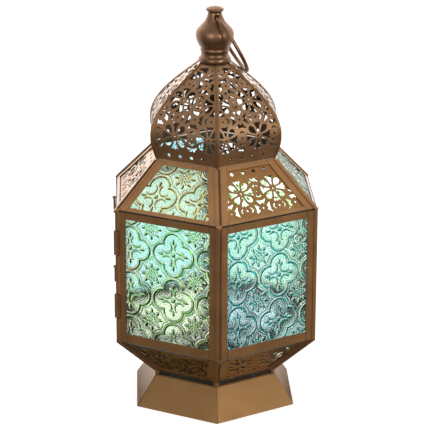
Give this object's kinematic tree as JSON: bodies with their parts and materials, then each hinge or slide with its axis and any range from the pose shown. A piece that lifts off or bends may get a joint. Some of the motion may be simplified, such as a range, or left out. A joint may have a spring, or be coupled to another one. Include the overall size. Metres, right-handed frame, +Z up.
{
  "type": "moroccan lantern",
  "caption": "Hexagonal table lantern with pressed glass panes, pierced onion dome, side door on hinges, turning catches, candle cup and hanging ring.",
  "frame": {"origin": "centre of the skirt's open underside, on the surface that the lantern stands on", "axes": "+Z up, -Y through the front corner, +X to the right seen from the front; the door is the left side, facing -X"},
  "size_m": [0.2017, 0.2294, 0.4],
  "materials": {
    "bronze_paint": "satin bronze-gold paint on folded sheet, worn a little along the edges",
    "pierced_bronze": "thin pierced sheet with the same bronze-gold paint",
    "finial_bronze": "satin bronze-gold paint on turned sheet and wire",
    "hinge_metal": "bronze paint, rubbed and darker at the knuckles",
    "cup_metal": "dull bronze paint",
    "green_glass": "pale green pressed glass, quatrefoils in relief",
    "teal_glass": "teal pressed glass, quatrefoils in relief",
    "yellow_glass": "pale yellow pressed glass, quatrefoils in relief",
    "amber_glass": "dark amber pressed glass"
  },
  "bodies": {
    "root": {"base_skirt": "bronze_paint", "floor_plate": "bronze_paint", "candle_cup": "cup_metal", "taper_frame_front_right": "bronze_paint", "taper_fret_front_right": "pierced_bronze", "taper_frame_right": "bronze_paint", "taper_glass_right": "amber_glass", "taper_frame_rear_right": "bronze_paint", "taper_fret_rear_right": "pierced_bronze", "taper_frame_rear_left": "bronze_paint", "taper_glass_rear_left": "amber_glass", "taper_frame_left": "bronze_paint", "taper_fret_left": "pierced_bronze", "taper_frame_front_left": "bronze_paint", "taper_glass_front_left": "amber_glass", "body_frame_front_right": "bronze_paint", "body_glass_front_right": "teal_glass", "body_frame_right": "bronze_paint", "body_glass_right": "yellow_glass", "body_frame_rear_right": "bronze_paint", "body_glass_rear_right": "green_glass", "body_frame_rear_left": "bronze_paint", "body_glass_rear_left": "teal_glass", "body_frame_front_left": "bronze_paint", "body_glass_front_left": "green_glass", "hinge_upper_post_leaf": "hinge_metal", "hinge_upper_pin": "hinge_metal", "hinge_lower_post_leaf": "hinge_metal", "hinge_lower_pin": "hinge_metal", "catch_upper_rivet": "hinge_metal", "catch_lower_rivet": "hinge_metal", "shoulder_frame_front_right": "bronze_paint", "shoulder_fret_front_right": "pierced_bronze", "shoulder_frame_right": "bronze_paint", "shoulder_glass_right": "green_glass", "shoulder_frame_rear_right": "bronze_paint", "shoulder_fret_rear_right": "pierced_bronze", "shoulder_frame_rear_left": "bronze_paint", "shoulder_glass_rear_left": "teal_glass", "shoulder_frame_left": "bronze_paint", "shoulder_fret_left": "pierced_bronze", "shoulder_frame_front_left": "bronze_paint", "shoulder_glass_front_left": "yellow_glass", "dome_lobe_front_right": "pierced_bronze", "dome_lobe_right": "pierced_bronze", "dome_lobe_rear_right": "pierced_bronze", "dome_lobe_rear_left": "pierced_bronze", "dome_lobe_left": "pierced_bronze", "dome_lobe_front_left": "pierced_bronze", "finial_collar": "finial_bronze", "finial_bulb": "finial_bronze", "finial_cap": "finial_bronze"},
    "door": {"door_frame": "bronze_paint", "door_glass": "yellow_glass", "hinge_upper_door_leaf": "hinge_metal", "hinge_lower_door_leaf": "hinge_metal"},
    "catch_upper": {"catch_upper_lever": "hinge_metal"},
    "catch_lower": {"catch_lower_lever": "hinge_metal"},
    "ring": {"hanging_ring": "finial_bronze"}
  },
  "joints": [
    {"name": "door_hinge", "type": "hinge", "parent": "root", "child": "door", "pos_m": [-0.09812, -0.05665, 0.1428], "axis": [0, 0, 1], "range_deg": [0, 220]},
    {"name": "catch_upper_turn", "type": "hinge", "parent": "root", "child": "catch_upper", "pos_m": [-0.09846, 0.05455, 0.189], "axis": [-1, 0, 0], "continuous": true},
    {"name": "catch_lower_turn", "type": "hinge", "parent": "root", "child": "catch_lower", "pos_m": [-0.09846, 0.05455, 0.1136], "axis": [-1, 0, 0], "continuous": true},
    {"name": "ring_swing", "type": "hinge", "parent": "root", "child": "ring", "pos_m": [0, 0, 0.3898], "axis": [0.2079, -0.9781, 0], "range_deg": [0, 300]}
  ]
}
